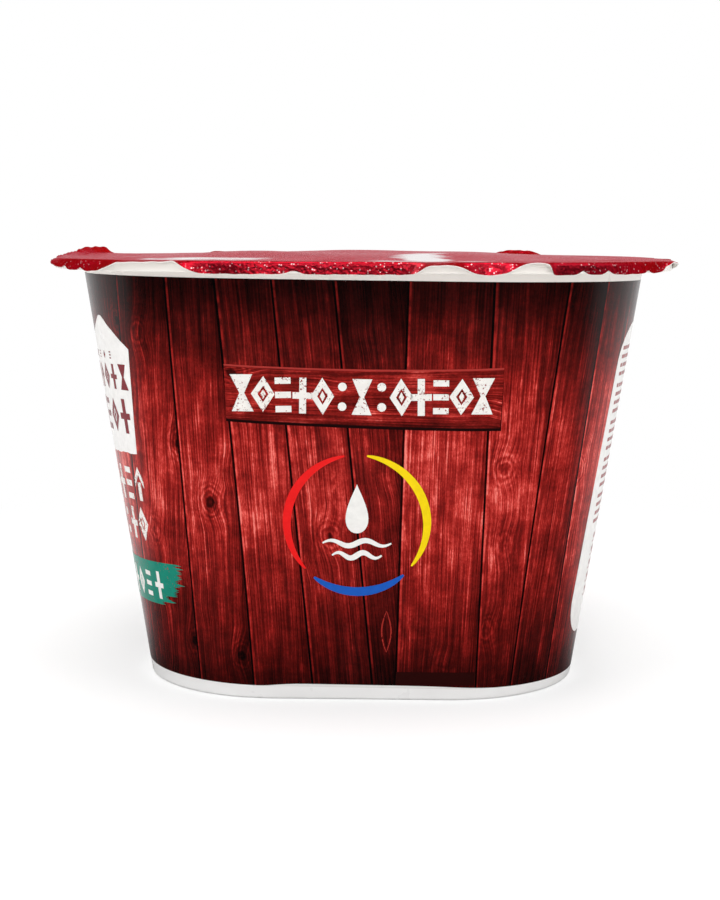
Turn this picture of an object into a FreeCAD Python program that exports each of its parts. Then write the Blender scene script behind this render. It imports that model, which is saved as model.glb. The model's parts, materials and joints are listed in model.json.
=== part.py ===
"""Sour cream pot: a tapered pot with rounded-square plan, its in-mould label and its crimped foil lid.

The pot is shut and full, so the moulding and its contents are one solid. The label lies flush in the wall.
The foil is heat-sealed on the flange and pressed down over the flange's lip, with lobes that sprang open.
Millimetres, +Z up, origin on the bench under the middle of the pot. The -X side is the main display side.
"""

import FreeCAD, Part
import os
from math import cos, exp, pi, radians, sin

from FreeCAD import Placement, Rotation, Vector

# Body of the pot
HEIGHT = 70.3            # bench to the sealing face of the flange
CORNER_CENTRE = 14.1     # axis to each corner's centre, along X and along Y
BASE_HALF = 36.1         # half-width at the bench
SHOULDER_HALF = 47.0     # half-width of the wall, carried up to the sealing face
BASE_ROUND = 0.6         # rounding between wall and foot
FOOT_RING = 3.0          # width of the ring that the pot stands on
BASE_RECESS = 1.8        # depth of the panel inside the foot ring
GATE_RADIUS = 3.0        # well round the moulding gate, in the recess ceiling
GATE_DEPTH = 0.6

# Flange and its downturned lip
FLANGE_REACH = 4.5       # flange edge beyond the wall at the sealing face
FLANGE_THICK = 1.0
LIP_DROP = 1.6           # sealing face to the lower edge of the lip
LIP_THICK = 0.8
LIP_ROUND = 0.4          # rounding of the flange's top edge
LIP_EDGE_ROUND = 0.25    # rounding of the lip's lower outer edge

# In-mould label, flush with the wall
LABEL_THICK = 0.25
LABEL_FOOT_GAP = 2.1     # bench to the label's lower edge, at the middle of the -Y side
LABEL_NECK_GAP = 2.7     # label's upper edge to the sealing face, there too
LABEL_SKEW = 0.5         # degrees that the label sits out of level, its -X side higher
LABEL_SEAM = 0.6         # butt gap between the label's two ends, on the +Y side

# Foil lid
FOIL_THICK = 0.2
FLAP_CLEARANCE = 0.1     # between the lip and the flap pressed over it
FLAP_LENGTH = 1.35       # flap beyond its fold
SEAL_WIDTH = 5.2         # foil that lies flat on the flange, in from the edge
CROWN = 0.9              # rise of the foil in the middle of the lid
CROWN_OFFSET = 6.0       # level middle of the crown, beyond the corner-centre square
GATHERS = 5              # gathers of the flap round each corner
GATHER_DEPTH = 0.45

# Lobes of the flap that sprang open on each side of the lid, counter-clockwise from the -Y side.
# Each is (distance from the middle of its side, half-length, degrees that it still hangs below level).
SPRUNG_LOBES = (
    ((-34.5, 10.5, 4.0), (-9.5, 1.8, 60.0), (12.5, 4.0, 4.0), (26.8, 3.2, 2.0)),
    ((-36.0, 3.5, 30.0), (-7.0, 5.0, 3.0), (13.0, 4.5, 10.0), (29.0, 6.5, -8.0)),
    ((-30.0, 7.0, -44.0), (-4.0, 6.0, 2.0), (12.0, 3.0, 40.0), (27.0, 8.0, -10.0)),
    ((-18.0, 7.0, -46.0), (3.0, 6.5, 3.0), (17.0, 3.0, 45.0), (31.0, 5.0, 10.0)),
)
LOBE_CORE = 0.6          # share of a lobe's half-length that is fully open
LOBE_FALL = 0.42         # share of it over which the flap closes again

POLES_PER_QUARTER = 30   # control points of the flap along each quarter of the lid
FOLD_STEPS = 3           # control points across its fold

FLANGE_HALF = SHOULDER_HALF + FLANGE_REACH
CORNER_RADIUS = FLANGE_HALF - CORNER_CENTRE
CORNER_ARC = CORNER_RADIUS * pi / 2
QUARTER = 2 * CORNER_CENTRE + CORNER_ARC
FOIL_TOP = HEIGHT + FOIL_THICK
FOLD_START = CORNER_RADIUS + FLAP_CLEARANCE - LIP_ROUND


def wall_half(z):
    """Half-width of the tapered wall at height z."""
    return BASE_HALF + (SHOULDER_HALF - BASE_HALF) * z / HEIGHT


def outline(half, z):
    """Closed wire of a rounded square whose corners are all centred on the same four points."""
    radius = half - CORNER_CENTRE
    edges = []
    for quarter in range(4):
        turn = Placement(Vector(0, 0, z), Rotation(Vector(0, 0, 1), 90 * quarter))
        side = [Vector(x, -half, 0) for x in (-CORNER_CENTRE, CORNER_CENTRE)]
        diagonal = radius * cos(pi / 4)
        middle = Vector(CORNER_CENTRE + diagonal, -CORNER_CENTRE - diagonal, 0)
        corner_end = Vector(half, -CORNER_CENTRE, 0)
        corner = [turn.multVec(point) for point in (side[1], middle, corner_end)]
        edges.append(Part.makeLine(turn.multVec(side[0]), turn.multVec(side[1])))
        edges.append(Part.Arc(*corner).toShape())
    return Part.Wire(edges)


def prism(half, low, high):
    """Upright block with the rounded-square plan."""
    return Part.Face(outline(half, low)).extrude(Vector(0, 0, high - low))


def tapered_block(low, high, inset=0.0):
    """Block between two heights whose side follows the wall, or lies inset inside it."""
    ends = [outline(wall_half(z) - inset, z) for z in (low, high)]
    return Part.makeLoft(ends, True, True)


def edges_at(solid, z, half):
    """Edges of a solid that run round the outline of one half-width at one height."""
    close = 1e-4
    found = []
    for edge in solid.Edges:
        box = edge.BoundBox
        reach = max(abs(box.XMin), abs(box.XMax), abs(box.YMin), abs(box.YMax))
        if abs(box.ZMin - z) < close and abs(box.ZMax - z) < close and abs(reach - half) < close:
            found.append(edge)
    return found


def full_pot():
    """Pot, flange, lip and contents before the label's bed is taken out of the wall."""
    wall = tapered_block(0.0, HEIGHT - FLANGE_THICK / 2)
    wall = wall.makeFillet(BASE_ROUND, edges_at(wall, 0.0, BASE_HALF))

    lip_bottom = HEIGHT - LIP_DROP
    flange = prism(FLANGE_HALF, lip_bottom, HEIGHT)
    flange = flange.makeFillet(LIP_ROUND, edges_at(flange, HEIGHT, FLANGE_HALF))
    flange = flange.makeFillet(LIP_EDGE_ROUND, edges_at(flange, lip_bottom, FLANGE_HALF))
    flange = flange.cut(prism(FLANGE_HALF - LIP_THICK, lip_bottom, HEIGHT - FLANGE_THICK))

    recess = prism(BASE_HALF - FOOT_RING, 0.0, BASE_RECESS)
    gate_well = Part.makeCylinder(GATE_RADIUS, BASE_RECESS + GATE_DEPTH)
    return wall.fuse(flange).cut(recess).cut(gate_well).removeSplitter()


def label():
    """Printed film wrapped once round the wall, level but for its skew, with a butt seam at the back."""
    low, high = LABEL_FOOT_GAP, HEIGHT - LABEL_NECK_GAP
    margin = LABEL_NECK_GAP / 2
    skin = tapered_block(0.0, HEIGHT - margin)
    skin = skin.cut(tapered_block(-margin, HEIGHT, LABEL_THICK))
    side = 3 * SHOULDER_HALF
    band = Part.makeBox(side, side, high - low, Vector(-side / 2, -side / 2, low))
    band.rotate(Vector(0, 0, (low + high) / 2), Vector(0, 1, 0), LABEL_SKEW)
    seam = Part.makeBox(LABEL_SEAM, side, HEIGHT, Vector(CORNER_CENTRE - LABEL_SEAM, 0, 0))
    return skin.common(band).cut(seam)


def station_frame(station):
    """Point of the corner-centre square and outward normal, at a distance along the flange's edge.

    Stations run counter-clockwise from the middle of the -Y side.
    """
    quarter, along = divmod(station + CORNER_CENTRE, QUARTER)
    turn = Rotation(Vector(0, 0, 1), 90 * quarter)
    if along <= 2 * CORNER_CENTRE:
        foot, normal = Vector(along - CORNER_CENTRE, -CORNER_CENTRE, 0), Vector(0, -1, 0)
    else:
        angle = (along - 2 * CORNER_CENTRE) / CORNER_RADIUS
        foot, normal = Vector(CORNER_CENTRE, -CORNER_CENTRE, 0), Vector(sin(angle), -cos(angle), 0)
    return turn.multVec(foot), turn.multVec(normal)


def distance_round(station, other):
    """Distance between two stations, the short way round the lid."""
    whole = 4 * QUARTER
    apart = abs(station - other) % whole
    return min(apart, whole - apart)


def fold_angle(station):
    """Angle below level to which the flap is pressed: a right angle, less where a lobe sprang open."""
    angle = 90.0
    for side, lobes in enumerate(SPRUNG_LOBES):
        for middle, half_length, droop in lobes:
            apart = distance_round(station, side * QUARTER + middle) / half_length
            closing = max(0.0, apart - LOBE_CORE) / LOBE_FALL
            angle -= (90.0 - droop) * exp(-closing * closing)
    return radians(angle)


def flap_reach(station):
    """Length of the flap beyond its fold, shorter at each gather round the corners."""
    along = (station + CORNER_CENTRE) % QUARTER - 2 * CORNER_CENTRE
    if along <= 0:
        return FLAP_LENGTH
    wave = abs(sin(pi * GATHERS * along / CORNER_ARC))
    return FLAP_LENGTH - GATHER_DEPTH * (1 - wave) ** 3


def arc_run(length, turned):
    """Distance out and down along an arc of one length that turns down by one angle."""
    half = turned / 2
    chord = length * sin(half) / half if abs(half) > 1e-9 else length
    return chord * cos(half), chord * sin(half)


def flap_profile(station, depth):
    """Offsets and heights across the flap, from the start of its fold to the cut edge.

    depth is 0 for the outer skin and the foil's thickness for the inner one.
    """
    angle, reach = fold_angle(station), flap_reach(station)
    bend = (LIP_ROUND + FOIL_THICK) * pi / 2
    steps = [(share / FOLD_STEPS, 0.0) for share in range(FOLD_STEPS + 1)] + [(1.0, reach / 2), (1.0, reach)]
    profile = []
    for share, straight in steps:
        turned = angle * share
        out, down = arc_run(bend * share, turned)
        out += straight * cos(turned) - depth * sin(turned)
        down += straight * sin(turned) + depth * cos(turned)
        profile.append((FOLD_START + out, FOIL_TOP - down))
    return profile


def flap_poles(depth):
    """Control points of one skin of the flap: for each station, a row across it."""
    rows = []
    for index in range(4 * POLES_PER_QUARTER):
        station = QUARTER * index / POLES_PER_QUARTER
        foot, normal = station_frame(station)
        steps = flap_profile(station, depth)
        rows.append([foot + normal * offset + Vector(0, 0, height) for offset, height in steps])
    return rows


def ring_surface(rows, across_degree):
    """B-spline surface through rows of control points, closed round the lid and open across it."""
    count, spans = len(rows), len(rows[0]) - across_degree
    surface = Part.BSplineSurface()
    surface.buildFromPolesMultsKnots(
        rows,
        [1] * (count + 1),
        [across_degree + 1] + [1] * (spans - 1) + [across_degree + 1],
        list(range(count + 1)),
        list(range(spans + 1)),
        True,
        False,
        3,
        across_degree,
    )
    return surface


def lid_top(flap_skin, height):
    """Faces of the lid's top inside the fold: the sealed ring, the crown's slope and its level middle."""
    sealed = outline(FLANGE_HALF - SEAL_WIDTH, height)
    middle = outline(CORNER_CENTRE + CROWN_OFFSET, height + CROWN)
    fold = Part.Wire(flap_skin.vIso(0.0).toShape())
    ring = Part.makeFace([fold, sealed], "Part::FaceMakerBullseye")
    slope = Part.makeLoft([sealed, middle], False, True)
    return [ring, *slope.Faces, Part.Face(middle)]


def foil_lid():
    """Foil as one thin solid: the two skins of its top and flap, and the cut edge between them."""
    faces, skins = [], []
    for depth in (0.0, FOIL_THICK):
        rows = flap_poles(depth)
        skin = ring_surface(rows, 2)
        skins.append(rows)
        faces += [skin.toShape(), *lid_top(skin, FOIL_TOP - depth)]
    cut_edge = [[outer[-1], inner[-1]] for outer, inner in zip(*skins)]
    faces.append(ring_surface(cut_edge, 1).toShape())
    shell = Part.makeShell(faces)
    shell.sewShape()
    solid = Part.makeSolid(shell)
    if solid.Volume < 0:
        solid.reverse()
    return solid


def main():
    os.makedirs("parts", exist_ok=True)
    sleeve = label()
    nodes = {"pot": full_pot().cut(sleeve), "label": sleeve, "foil_lid": foil_lid()}
    for name, shape in nodes.items():
        solids = shape.Solids
        piece = solids[0] if len(solids) == 1 else shape
        print(name, "solids", len(solids), "valid", piece.isValid(), "volume", round(piece.Volume, 1))
        piece.exportStep(os.path.join("parts", name + ".step"))


main()
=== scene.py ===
"""Looks of a shut sour cream pot: white moulding, printed film with painted boards, crimped foil lid.

Metres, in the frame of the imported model: origin on the bench under the pot, +Z up, -Y the side face that
carries the name board, -X the main display side, +X the information side.

Two coordinates are used on the wall. "along" is the distance round the pot at half height, counter-clockwise
from the middle of the -Y side, and "height" is the height above the bench.
"""

import json
import math
import random

import bmesh
import bpy
import numpy as np
from mathutils import Matrix, Vector

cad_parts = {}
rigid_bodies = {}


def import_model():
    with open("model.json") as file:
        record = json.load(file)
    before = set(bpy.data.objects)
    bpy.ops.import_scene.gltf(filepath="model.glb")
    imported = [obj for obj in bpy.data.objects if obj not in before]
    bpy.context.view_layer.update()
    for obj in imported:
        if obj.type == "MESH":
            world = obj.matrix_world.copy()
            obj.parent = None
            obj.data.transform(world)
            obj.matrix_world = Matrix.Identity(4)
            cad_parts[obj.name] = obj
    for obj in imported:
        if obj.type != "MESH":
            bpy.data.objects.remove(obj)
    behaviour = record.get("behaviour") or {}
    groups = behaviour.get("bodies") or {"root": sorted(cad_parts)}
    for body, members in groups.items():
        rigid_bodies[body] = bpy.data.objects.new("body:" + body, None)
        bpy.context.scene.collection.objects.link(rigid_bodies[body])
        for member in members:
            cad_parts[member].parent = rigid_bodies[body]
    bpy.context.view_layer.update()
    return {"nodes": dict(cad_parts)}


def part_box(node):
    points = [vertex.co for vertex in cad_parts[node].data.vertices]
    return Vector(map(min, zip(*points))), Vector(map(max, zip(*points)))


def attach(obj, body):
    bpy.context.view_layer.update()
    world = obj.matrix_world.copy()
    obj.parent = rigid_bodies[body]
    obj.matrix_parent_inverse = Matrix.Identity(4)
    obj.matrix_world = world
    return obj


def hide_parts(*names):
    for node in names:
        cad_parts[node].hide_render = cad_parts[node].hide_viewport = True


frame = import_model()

MM = 0.001

# ---------------------------------------------------------------- sizes of the moulding, read from the frame
pot_low, pot_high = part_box("pot")
HEIGHT = pot_high[2]                 # sealing face of the flange
FLANGE_HALF = pot_high[0]
BENCH = pot_low[2]

CORNER_CENTRE = 14.1 * MM            # axis to each corner's centre, along X and along Y
BASE_HALF = 36.1 * MM
SHOULDER_HALF = 47.0 * MM
SKEW = math.tan(math.radians(0.5))   # slope of the film, its -X side higher
SEAM_GAP = 0.6 * MM
FILM_THICK = 0.2 * MM
FILM_PROUD = 0.015 * MM              # film over the wall's surface
INK = 0.03 * MM                      # height of one printed layer over the one below

LIP_ROUND = 0.4 * MM
FOIL_THICK = 0.14 * MM
FLAP_CLEARANCE = 0.1 * MM
FLAP_LENGTH = 1.35 * MM
SEAL_WIDTH = 5.2 * MM
CROWN = 1.0 * MM

FILM_FOOT = 2.1 * MM                 # bench to the film's lower edge, in the middle of the -Y side
FILM_NECK = HEIGHT - 2.7 * MM        # its upper edge there


def wall_half(height):
    """Half-width of the tapered wall at a height."""
    return BASE_HALF + (SHOULDER_HALF - BASE_HALF) * height / HEIGHT


HALF_HEIGHT = 35.0 * MM
WALL_RADIUS = wall_half(HALF_HEIGHT) - CORNER_CENTRE
WALL_QUARTER = 2 * CORNER_CENTRE + WALL_RADIUS * math.pi / 2
LID_RADIUS = FLANGE_HALF - CORNER_CENTRE
LID_QUARTER = 2 * CORNER_CENTRE + LID_RADIUS * math.pi / 2


def outline_frame(along, arc_radius):
    """Points on the square of corner centres, and outward normals, at distances round an outline."""
    along = np.asarray(along, float)
    quarter_length = 2 * CORNER_CENTRE + arc_radius * math.pi / 2
    quarter, rest = np.divmod(along + CORNER_CENTRE, quarter_length)
    straight = rest <= 2 * CORNER_CENTRE
    angle = np.where(straight, 0.0, (rest - 2 * CORNER_CENTRE) / arc_radius)
    foot_x = np.where(straight, rest - CORNER_CENTRE, CORNER_CENTRE)
    foot_y = np.full_like(foot_x, -CORNER_CENTRE)
    normal_x, normal_y = np.sin(angle), -np.cos(angle)
    turn = quarter * math.pi / 2
    cosine, sine = np.cos(turn), np.sin(turn)
    foot = np.stack([cosine * foot_x - sine * foot_y, sine * foot_x + cosine * foot_y], -1)
    normal = np.stack([cosine * normal_x - sine * normal_y, sine * normal_x + cosine * normal_y], -1)
    return foot, normal


def on_wall(along, height, lift):
    """Points on the wall from distances round it, heights and lifts above its surface."""
    height = np.asarray(height, float)
    foot, normal = outline_frame(along, WALL_RADIUS)
    reach = wall_half(height) - CORNER_CENTRE + lift
    flat = foot + normal * reach[..., None]
    return np.concatenate([flat, np.broadcast_to(height[..., None], flat.shape[:-1] + (1,))], -1)


# ---------------------------------------------------------------- shader helpers
class Wire:
    """Output of a node that can be reckoned with: each sign adds a math node to its tree."""

    def __init__(self, socket):
        self.socket = socket

    def __add__(self, other):
        return calc("ADD", self, other)

    def __sub__(self, other):
        return calc("SUBTRACT", self, other)

    def __rsub__(self, other):
        return calc("SUBTRACT", other, self)

    def __mul__(self, other):
        return calc("MULTIPLY", self, other)

    def __truediv__(self, other):
        return calc("DIVIDE", self, other)


def tree_of(*values):
    """Node tree of the first wire among some values."""
    return next(value.socket.id_data for value in values if isinstance(value, Wire))


def feed(socket, value):
    """Links an input to a wire, or sets its constant."""
    if isinstance(value, Wire):
        socket.id_data.links.new(value.socket, socket)
    else:
        socket.default_value = value


def add(tree, kind, inputs=(), **settings):
    """Adds a node, sets its properties and feeds its inputs {name or number: value}."""
    node = tree.nodes.new(kind)
    for name, value in settings.items():
        setattr(node, name, value)
    for key, value in dict(inputs).items():
        feed(node.inputs[key], value)
    return node


def out(node, key=0):
    return Wire(node.outputs[key])


def calc(operation, *values):
    """Result of a math node."""
    return out(add(tree_of(*values), "ShaderNodeMath", enumerate(values), operation=operation))


def vector(x, y, z):
    return out(add(tree_of(x, y, z), "ShaderNodeCombineXYZ", {0: x, 1: y, 2: z}))


def split(value):
    """Three parts of a vector."""
    return [Wire(socket) for socket in add(tree_of(value), "ShaderNodeSeparateXYZ", {0: value}).outputs]


def noise(place, scale, detail=3.0, roughness=0.55):
    return out(add(tree_of(place), "ShaderNodeTexNoise",
                   {"Vector": place, "Scale": scale, "Detail": detail, "Roughness": roughness}), "Fac")


def cells(place, scale, feature="F1"):
    """Distance from the middle of a cell, and the cell's colour."""
    node = add(tree_of(place), "ShaderNodeTexVoronoi", {"Vector": place, "Scale": scale},
               feature=feature, voronoi_dimensions="3D")
    return out(node, "Distance"), out(node, "Color")


def remap(value, low, high, to_low=0.0, to_high=1.0, smooth=True):
    """Value carried from one range to another, clamped at both ends."""
    return out(add(tree_of(value), "ShaderNodeMapRange",
                   {"Value": value, "From Min": low, "From Max": high, "To Min": to_low, "To Max": to_high},
                   interpolation_type="SMOOTHSTEP" if smooth else "LINEAR"))


def ramp(value, stops):
    """Colour ramp through (place, colour) stops."""
    node = add(tree_of(value), "ShaderNodeValToRGB", {0: value})
    elements = node.color_ramp.elements
    while len(elements) < len(stops):
        elements.new(1.0)
    for element, (place, colour) in zip(elements, stops):
        element.position = place
        element.color = (*colour, 1.0)
    return out(node)


def blend_colour(share, first, second, kind="MIX"):
    """Two colours mixed by a share."""
    colours = [(*value, 1.0) if isinstance(value, tuple) else value for value in (first, second)]
    return out(add(tree_of(share, first, second), "ShaderNodeMix", {0: share, 6: colours[0], 7: colours[1]},
                   data_type="RGBA", blend_type=kind), 2)


def shade(colour, level):
    """Colour times a level."""
    return blend_colour(1.0, colour, vector(level, level, level), "MULTIPLY")


def bump(height, distance, strength, normal=None):
    """Normal disturbed by a height."""
    inputs = {"Strength": strength, "Distance": distance, "Height": height}
    if normal:
        inputs["Normal"] = normal
    return out(add(tree_of(height), "ShaderNodeBump", inputs))


def attribute(tree, name, key):
    return out(add(tree, "ShaderNodeAttribute", attribute_name=name), key)


def object_place(tree):
    return out(add(tree, "ShaderNodeTexCoord"), "Object")


def shader_group(name, inputs, outputs):
    """Shader group with inputs {name: default} and outputs {name: type}: it, its wires and its outlets."""
    group = bpy.data.node_groups.new(name, "ShaderNodeTree")
    for label, default in inputs.items():
        kind = "NodeSocketVector" if isinstance(default, tuple) else "NodeSocketFloat"
        group.interface.new_socket(label, in_out="INPUT", socket_type=kind).default_value = default
    for label, kind in outputs.items():
        group.interface.new_socket(label, in_out="OUTPUT", socket_type="NodeSocket" + kind)
    wires = [Wire(socket) for socket in add(group, "NodeGroupInput").outputs][:len(inputs)]
    return group, wires, add(group, "NodeGroupOutput").inputs


def use_group(tree, group, **values):
    """Wires {name: wire} that a group gives for these inputs."""
    node = add(tree, "ShaderNodeGroup", node_tree=group)
    for name, value in values.items():
        feed(node.inputs[name], value)
    return {socket.name: Wire(socket) for socket in node.outputs}


def emptied(owner):
    """Node tree of a material or a world, without nodes."""
    owner.use_nodes = True
    owner.node_tree.nodes.clear()
    return owner.node_tree


def material(name, build, **constants):
    """Material whose Principled shader has these constants, and the inputs that build() gives for a tree."""
    made = bpy.data.materials.new(name)
    tree = emptied(made)
    constants = {key.replace("_", " "): value for key, value in constants.items()}
    shader = add(tree, "ShaderNodeBsdfPrincipled", {**constants, **build(tree)})
    add(tree, "ShaderNodeOutputMaterial", {"Surface": out(shader)})
    return made


# ---------------------------------------------------------------- shared effects
def make_board_group():
    """Painted board: grain, knots, dark joints and a bright left edge. Lengths in millimetres."""
    group, (across, up, width, tone, seed, light, edge), given = shader_group(
        "painted board",
        {"Across": 0.0, "Up": 0.0, "Width": 10.0, "Tone": 1.0, "Seed": 0.0, "Light": 0.3, "Edge": 1.0},
        {"Color": "Color"})
    lane = seed * 17.3      # keeps the noise of one board clear of the next one's

    def grain(place, fine_across, fine_up, detail=3.0, roughness=0.55):
        """Noise stretched along the board, from features per millimetre across it and up it."""
        return noise(vector(place * fine_across, up * fine_up, lane), 1.0, detail, roughness) - 0.5

    from_knot = cells(vector(across * 0.095, up * 0.075, lane), 1.0)[0]
    rough_distance = grain(across, 0.9, 0.7, 2.0) * 0.10 + from_knot
    knot_rings = calc("SINE", rough_distance * 95.0) * remap(from_knot, 0.34, 0.08)
    knot_heart = remap(rough_distance, 0.115, 0.05)

    bent = remap(from_knot, 0.42, 0.0) * 1.3 + (grain(across, 0.20, 0.040, 2.0) * 0.6 + across)
    fine = grain(bent, 1.5, 0.040, 3.0, 0.62)
    hair = grain(bent, 4.6, 0.055, 3.0, 0.65)
    broad = grain(bent, 0.62, 0.024)
    patch = grain(across, 0.34, 0.15, 5.0, 0.62)
    speck = grain(across, 5.0, 2.2, 2.0)
    ribs = grain(across, 0.26, 0.80, 3.0, 0.6)
    from_line = calc("ABSOLUTE", calc("FRACT", grain(bent, 0.24, 0.014, 1.0) * 13.0) - 0.5)
    bright_line = remap(from_line, 0.16, 0.02) * remap(patch, -0.02, 0.16)
    power = (fine * 3.0 + hair * 6.4 + broad * 1.9 + patch * 4.2 + speck * 1.8 + ribs * 1.5
             + knot_rings * 0.7 - knot_heart * 2.4 + bright_line * 0.7)

    from_right = width - across
    value = calc("POWER", 2.0, power) * remap(from_right, 0.1, 1.5, 0.62, 1.0)
    worn = remap(grain(across, 0.05, 0.35), -0.12, 0.10, 0.25, 1.0)
    rim = remap(across, 0.70, 0.50) * edge * worn
    joint = calc("MAXIMUM", remap(across, 0.36, 0.26), remap(from_right, 0.10, 0.02))
    lit = ((rim * 1.15 + value) * tone * light + rim * 0.13) * (1.0 - joint * edge * 0.985)
    feed(given["Color"], ramp(lit, (
        (0.0, (0.0012, 0.0005, 0.0005)),
        (0.02, (0.020, 0.0011, 0.0009)),
        (0.14, (0.140, 0.0052, 0.0042)),
        (0.30, (0.305, 0.0120, 0.0090)),
        (0.50, (0.510, 0.0330, 0.0260)),
        (0.78, (0.750, 0.0850, 0.0680)),
        (1.0, (0.840, 0.2000, 0.1650)),
    )))
    return group


def make_film_group():
    """Faint orange peel and handling scuffs of a plastic film, from object coordinates."""
    group, (place, rough, peel), given = shader_group(
        "film surface", {"Place": (0.0, 0.0, 0.0), "Roughness": 0.25, "Peel": 1.0},
        {"Roughness": "Float", "Normal": "Vector"})
    feed(given["Roughness"], rough + remap(noise(place, 90.0, 4.0, 0.65), 0.35, 0.75, -0.03, 0.04))
    feed(given["Normal"], bump(noise(place, 260.0, 2.0), 0.02 * MM, peel))
    return group


def make_wear_group():
    """Specks where a coarse ink missed, as a mask: 1 is ink, 0 is bare."""
    group, (place, amount), given = shader_group(
        "missed ink", {"Place": (0.0, 0.0, 0.0), "Amount": 0.3}, {"Ink": "Float"})
    threshold = noise(place, 320.0, 2.0) * amount * 0.75 + 0.16
    feed(given["Ink"], remap(noise(place, 2600.0, 3.0, 0.7) - threshold, -0.02, 0.05))
    return group


BOARD = make_board_group()
FILM = make_film_group()
WEAR = make_wear_group()


# ---------------------------------------------------------------- materials
FILM_GLOSS = 0.12    # specular level of the film and its inks

BOARD_LIGHT = (      # how bright the painted boards are lit in the print, by height in millimetres
    (0.0, 0.026), (3.5, 0.036), (5.6, 0.055), (9.7, 0.095), (16.0, 0.155), (24.0, 0.27), (32.0, 0.36),
    (40.0, 0.38), (48.5, 0.24), (58.0, 0.093), (62.9, 0.037), (65.7, 0.021), (68.0, 0.017),
)
TOP_OF_LIGHT = 70.0


def plastic(tree, colour, roughness, peel=1.0):
    """Inputs of the shader of a glossy film or moulding."""
    finish = use_group(tree, FILM, Place=object_place(tree), Roughness=roughness, Peel=peel)
    return {"Base Color": colour, **finish}


def build_boards(tree):
    across, up, _ = split(out(add(tree, "ShaderNodeUVMap", uv_map="boards")))
    width, tone, seed = split(attribute(tree, "board", "Vector"))
    light = ramp(up / TOP_OF_LIGHT, [(height / TOP_OF_LIGHT, (level,) * 3) for height, level in BOARD_LIGHT])
    painted = use_group(tree, BOARD, Across=across, Up=up, Width=width, Tone=tone, Seed=seed, Light=light)
    inside = remap(attribute(tree, "margin", "Fac"), 0.0, 0.06)
    return plastic(tree, blend_colour(inside, (0.80, 0.79, 0.77), painted["Color"]), 0.22)


def build_plank(tree):
    along, up, _ = split(out(add(tree, "ShaderNodeUVMap", uv_map="flat")))
    painted = use_group(tree, BOARD, Across=up, Up=along, Width=40.0, Seed=3.7, Light=0.22, Edge=0.0)
    colour = shade(painted["Color"], remap(up, 0.0, 2.4, 0.55, 1.0) * remap(up, 8.8, 7.6, 0.78, 1.0))
    colour = blend_colour(remap(up, 8.62, 8.82) * 0.8, colour, (0.44, 0.040, 0.032))
    return plastic(tree, blend_colour(remap(up, 0.35, 0.1), colour, (0.010, 0.002, 0.002)), 0.22)


def ink_material(name, colour, wear=0.0, under=(0.25, 0.015, 0.012)):
    """Ink of one colour, with the colour below it showing through where it missed."""
    def build(tree):
        place = object_place(tree)
        inked = shade(colour, remap(noise(place, 900.0), 0.3, 0.7, 0.93, 1.04, smooth=False))
        if wear:
            inked = blend_colour(use_group(tree, WEAR, Place=place, Amount=wear)["Ink"], under, inked)
        return plastic(tree, inked, 0.24)
    return material(name, build, Specular_IOR_Level=FILM_GLOSS)


def build_moulding(tree):
    place = object_place(tree)
    colour = ramp(noise(place, 60.0), ((0.35, (0.885, 0.878, 0.868)), (0.65, (0.915, 0.908, 0.900))))
    creamy = remap(split(place)[2], 60 * MM, 69 * MM)
    return plastic(tree, blend_colour(creamy, colour, (0.93, 0.89, 0.84)), 0.30, 0.8)


PRESSED_PLACES = (      # (x, y, half-length along x, half-length along y) in millimetres, shiny
    (-24.0, -36.0, 10.0, 8.0), (10.0, -33.0, 4.5, 20.0), (11.0, -46.0, 11.0, 1.6), (-4.0, 22.0, 16.0, 7.0))


def build_foil(tree):
    """Red lacquer on embossed foil: pebbled all over, but smooth and shiny in a few pressed places."""
    place = object_place(tree)
    x, y, z = split(place)
    cloud = noise(place, 130.0)
    pressed = 0.0
    for middle_x, middle_y, half_x, half_y in PRESSED_PLACES:
        off_x, off_y = (x - middle_x * MM) / (half_x * MM), (y - middle_y * MM) / (half_y * MM)
        ragged = (cloud - 0.5) * 1.6 + calc("SQRT", off_x * off_x + off_y * off_y)
        pressed = calc("MAXIMUM", pressed, remap(ragged, 1.12, 0.45))
    folded = remap(z, HEIGHT + 0.30 * MM, HEIGHT - 0.10 * MM)
    from_facet, facet_colour = cells(place, 3300.0)
    # Painted glints: pale pink specks put into the base colour on a few cells of the foil, more of them on
    # the folded flap, in place of sparkles of light.
    painted_glint = remap(split(facet_colour)[0], 0.84, 0.90) * remap(from_facet, 0.55, 0.25) * (folded * 0.45 + 0.25)
    # Random mottle of the lacquer, times painted shade that makes the folded flap's colour a fifth darker
    # than the top's.
    mottle_and_flap_shade = remap(noise(place, 1500.0, 2.0, 0.6), 0.36, 0.62, 0.86, 1.16, smooth=False)
    mottle_and_flap_shade = mottle_and_flap_shade * (1.0 - folded * 0.20)
    colour = shade(ramp(cloud, ((0.3, (0.42, 0.009, 0.020)), (0.7, (0.54, 0.015, 0.034)))), mottle_and_flap_shade)
    rubbed = remap(noise(place, 5200.0, 2.0), 0.3, 0.7, 0.14, 0.30) * (1.0 - pressed)
    waves = bump(noise(place, 420.0), 0.09 * MM, (0.8 - pressed * 0.7) * (1.0 - folded * 0.5))
    pebbled = (1.0 - pressed * 0.9) * (1.0 - folded * 0.25)
    pebbles = bump(cells(place, 2100.0, "SMOOTH_F1")[0], 0.12 * MM, pebbled, waves)
    return {"Base Color": blend_colour(painted_glint, colour, (0.95, 0.62, 0.64)),
            "Specular Tint": blend_colour(pressed, (0.76, 0.0, 0.10), (1.0, 1.0, 1.0)),
            "Roughness": rubbed + folded * 0.14 + pressed * 0.10, "Coat Weight": pressed, "Normal": pebbles}


def build_foil_back(tree):
    fibres = noise(object_place(tree), 3000.0)
    return {"Base Color": ramp(fibres, ((0.3, (0.82, 0.80, 0.76)), (0.7, (0.88, 0.86, 0.82)))),
            "Normal": bump(fibres, 0.02 * MM, 0.3)}


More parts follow.
